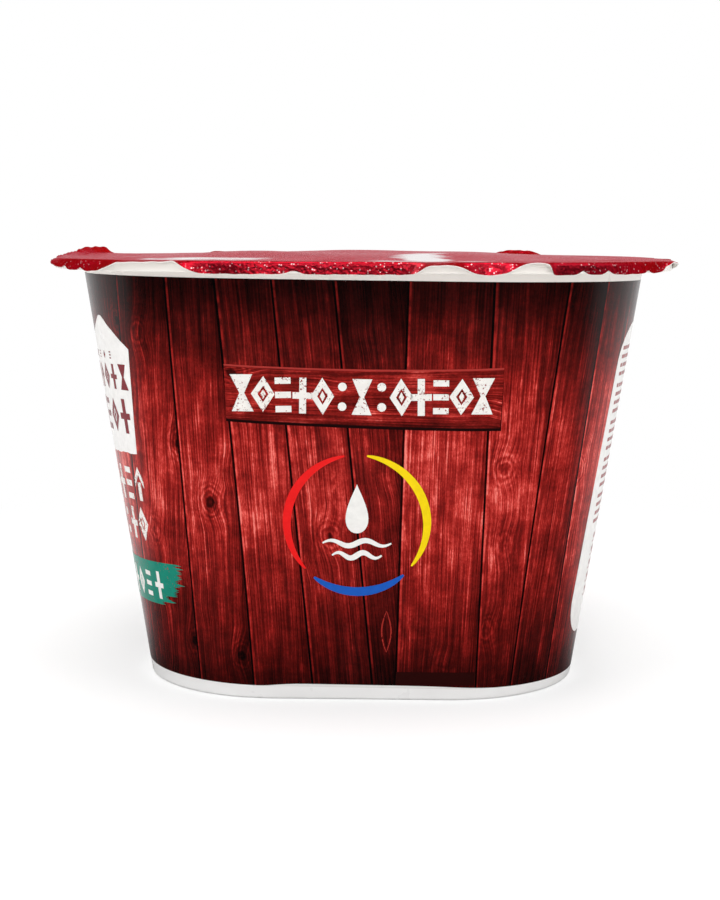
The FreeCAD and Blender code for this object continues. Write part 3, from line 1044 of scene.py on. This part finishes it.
def crown_rise(offset, station, x, y):
    """Height of the foil over the sealing face inside the sealed ring."""
    sealed = LID_RADIUS - SEAL_WIDTH
    inward = np.clip((sealed - offset) / sealed, 0.0, 1.0)
    rise = CROWN * inward * inward * (3 - 2 * inward) * 0.9
    swell = 0.16 * np.sin(x / 8.5 + 1.1) * np.sin(y / 7.0 - 0.5) + 0.10 * np.sin((x + 0.6 * y) / 4.6 + 0.4)
    pull = 0.10 * np.sin(station / 2.3) * np.exp(-((inward - 0.08) / 0.1) ** 2)
    return rise + (swell * np.minimum(1.0, inward * 3) + pull * np.minimum(1.0, inward * 12)) * MM


def foil_lid():
    """Foil as a closed thin shell: crown, sealed ring, fold and flap, with wrinkles and gathers."""
    columns = LID_COLUMNS
    station = np.arange(columns) * (4 * LID_SIDE) / columns
    foot, normal = outline_frame(station * MM, LID_RADIUS)
    angle, reach = fold_angles(station), flap_reach(station)
    sealed = LID_RADIUS - SEAL_WIDTH
    fold_start = LID_RADIUS + FLAP_CLEARANCE - LIP_ROUND - dips(station, TUCKS) * MM
    bend = (LIP_ROUND + FOIL_THICK) * math.pi / 2
    crumple = dips(station, CRUMPLES) * (0.30 + 0.07 * np.sin(station * 1.3)) * MM

    def skin(depth):
        """Rings of points from the middle of the lid to the flap's edge, at a depth in the foil."""
        rings = []
        even = np.ones(columns)
        rows = [(share, 2.0 * MM * share * even) for share in (0.1, 0.25, 0.45, 0.7)]
        rows += [(1.0, offset * even) for offset in np.linspace(2.0 * MM, sealed, 17)]
        rows += [(1.0, sealed + (fold_start - sealed) * share) for share in np.linspace(0.0, 1.0, 6)[1:]]
        for core_share, offset in rows:
            flat = foot * core_share + normal * offset[:, None]
            x, y = flat.T / MM
            on_core = core_share < 1.0
            rise = crown_rise(0.0 * even if on_core else offset, station, x, y)
            if not on_core:
                rise = rise + crumple * np.clip((offset - (fold_start - 6 * MM)) / (6 * MM), 0, 1)
            rings.append(np.column_stack([flat, HEIGHT + FOIL_THICK - depth + rise]))
        lift = rings[-1][:, 2]
        for share, straight in [(k / 6, 0.0) for k in range(1, 7)] + [(1.0, k / 4) for k in range(1, 5)]:
            turned = angle * share
            half = np.where(np.abs(turned) < 1e-6, 1e-6, turned / 2)
            chord = bend * share * np.sin(half) / half
            outward = chord * np.cos(half) + reach * straight * np.cos(turned) - depth * np.sin(turned)
            down = chord * np.sin(half) + reach * straight * np.sin(turned) + depth * (np.cos(turned) - 1)
            ripple = 0.05 * MM * np.sin(station * 1.9 + 1.7 * straight) * straight
            offset = fold_start + outward + ripple * np.sin(angle) * 0.5
            drop = down - ripple * np.cos(angle)
            rings.append(np.column_stack([foot + normal * offset[:, None], lift - drop]))
        return rings

    outer, inner = skin(0.0), skin(FOIL_THICK)
    rows = len(outer)
    size, edge = columns * rows, rows - 1
    points = [np.stack(rings, 1).reshape(-1, 3) for rings in (outer, inner)]
    middles = [[[0.0, 0.0, rings[0][:, 2].mean()]] for rings in (outer, inner)]
    pairs = [(k * rows, (k + 1) % columns * rows) for k in range(columns)]
    parts = ((0, grid_faces(columns, rows, closed=True, flip=True)),
             (1, grid_faces(columns, rows, size, closed=True)),
             (0, [(2 * size, near, far) for near, far in pairs]),
             (1, [(2 * size + 1, size + far, size + near) for near, far in pairs]),
             (1, [(near + edge, size + near + edge, size + far + edge, far + edge) for near, far in pairs]))
    faces = [face for _, some in parts for face in some]
    slots = [slot for slot, some in parts for _ in some]
    piece = piece_from_arrays("foil_cover", np.concatenate(points + middles), faces, [FOIL_RED, FOIL_BACK],
                              columns, slots)
    finish_piece(piece, "lid_foil", "foil_lid")


foil_lid()

pot = frame["nodes"]["pot"]
pot.data.materials.clear()
pot.data.materials.append(MOULDING)


# ---------------------------------------------------------------- stage, lights and camera
FLOOR_GLOW = 0.455    # what the floor near the pot gives the camera besides the light that falls on it
LAMPS_AIM = (0.0, 0.0, 0.03)


def stage_floor():
    """Pale floor that keeps the pot's shadow and reads as white away from it."""
    mesh = bpy.data.meshes.new("floor")
    reach = 6.0
    mesh.from_pydata([(x, y, BENCH) for x, y in rectangle(-reach, -reach, reach, reach)], [], [(0, 1, 2, 3)])
    made = bpy.data.materials.new("white floor")
    tree = emptied(made)

    def mixed(share, first, second):
        return out(add(tree, "ShaderNodeMixShader", {0: share, 1: first, 2: second}))

    def diffuse(level):
        return out(add(tree, "ShaderNodeBsdfDiffuse", {"Color": (level, level, level, 1.0)}))

    def emission(strength):
        return out(add(tree, "ShaderNodeEmission", {"Strength": strength}))

    place = object_place(tree)
    away = out(add(tree, "ShaderNodeVectorMath", {0: place}, operation="LENGTH"), "Value")
    near = out(add(tree, "ShaderNodeAddShader", {0: diffuse(0.55), 1: emission(FLOOR_GLOW)}))
    seen = mixed(remap(away, 0.06, 0.18), near, emission(1.0))
    mirrored = emission(remap(split(place)[1], -0.03, 0.03, 0.08, 0.95))
    ray = add(tree, "ShaderNodeLightPath")
    unseen = mixed(out(ray, "Is Glossy Ray"), diffuse(0.78), mirrored)
    add(tree, "ShaderNodeOutputMaterial", {"Surface": mixed(out(ray, "Is Camera Ray"), unseen, seen)})
    mesh.materials.append(made)
    placed("floor", mesh)


def studio_world():
    """White room to the camera and in reflections from the sides and behind, dim on the camera's side."""
    world = bpy.data.worlds.new("studio")
    bpy.context.scene.world = world
    tree = emptied(world)
    behind = split(out(add(tree, "ShaderNodeTexCoord"), "Generated"))[1]
    level = remap(behind, -0.55, 0.30, 0.10, 0.75) + remap(behind, 0.85, 0.97, 0.0, 0.16)
    seen = out(add(tree, "ShaderNodeLightPath"), "Is Camera Ray")
    back = add(tree, "ShaderNodeBackground", {"Color": (1.0,) * 4, "Strength": calc("MAXIMUM", seen, level)})
    add(tree, "ShaderNodeOutputWorld", {"Surface": out(back)})


def softbox(name, place, width, height, power):
    """Lamp aimed at the pot."""
    data = bpy.data.lights.new(name, "AREA")
    data.shape = "RECTANGLE"
    data.size, data.size_y, data.energy = width, height, power
    lamp = placed(name, data)
    lamp.location = place
    lamp.rotation_euler = (Vector(LAMPS_AIM) - Vector(place)).to_track_quat("-Z", "Y").to_euler()


def camera():
    """Camera in front of the -Y side, a little above the lid."""
    distance, eye, turn = 299.9 * MM, 74.55 * MM, 0.0192
    pitch, roll, yaw = 0.128, 0.005, 0.00216
    data = bpy.data.cameras.new("camera")
    data.sensor_width, data.lens, data.clip_start = 36.0, 67.28, 0.01
    made = placed("camera", data)
    place = Vector((distance * math.sin(turn), -distance * math.cos(turn), eye))
    made.matrix_world = (Matrix.Translation(place) @ Matrix.Rotation(turn + yaw, 4, "Z")
                         @ Matrix.Rotation(math.pi / 2 - pitch, 4, "X") @ Matrix.Rotation(roll, 4, "Z"))
    bpy.context.scene.camera = made


stage_floor()
studio_world()
for lamp_name, *lamp in (("left softbox", (-0.75, -0.35, 0.55), 0.7, 0.7, 2.9),
                         ("right softbox", (0.75, -0.35, 0.55), 0.7, 0.7, 2.1),
                         ("front softbox", (0.1, -1.1, 0.45), 0.8, 0.5, 4.9),
                         ("top softbox", (0.0, -0.1, 1.0), 0.9, 0.9, 6.5)):
    softbox(lamp_name, *lamp)
camera()
bpy.context.scene.view_settings.view_transform = "Standard"
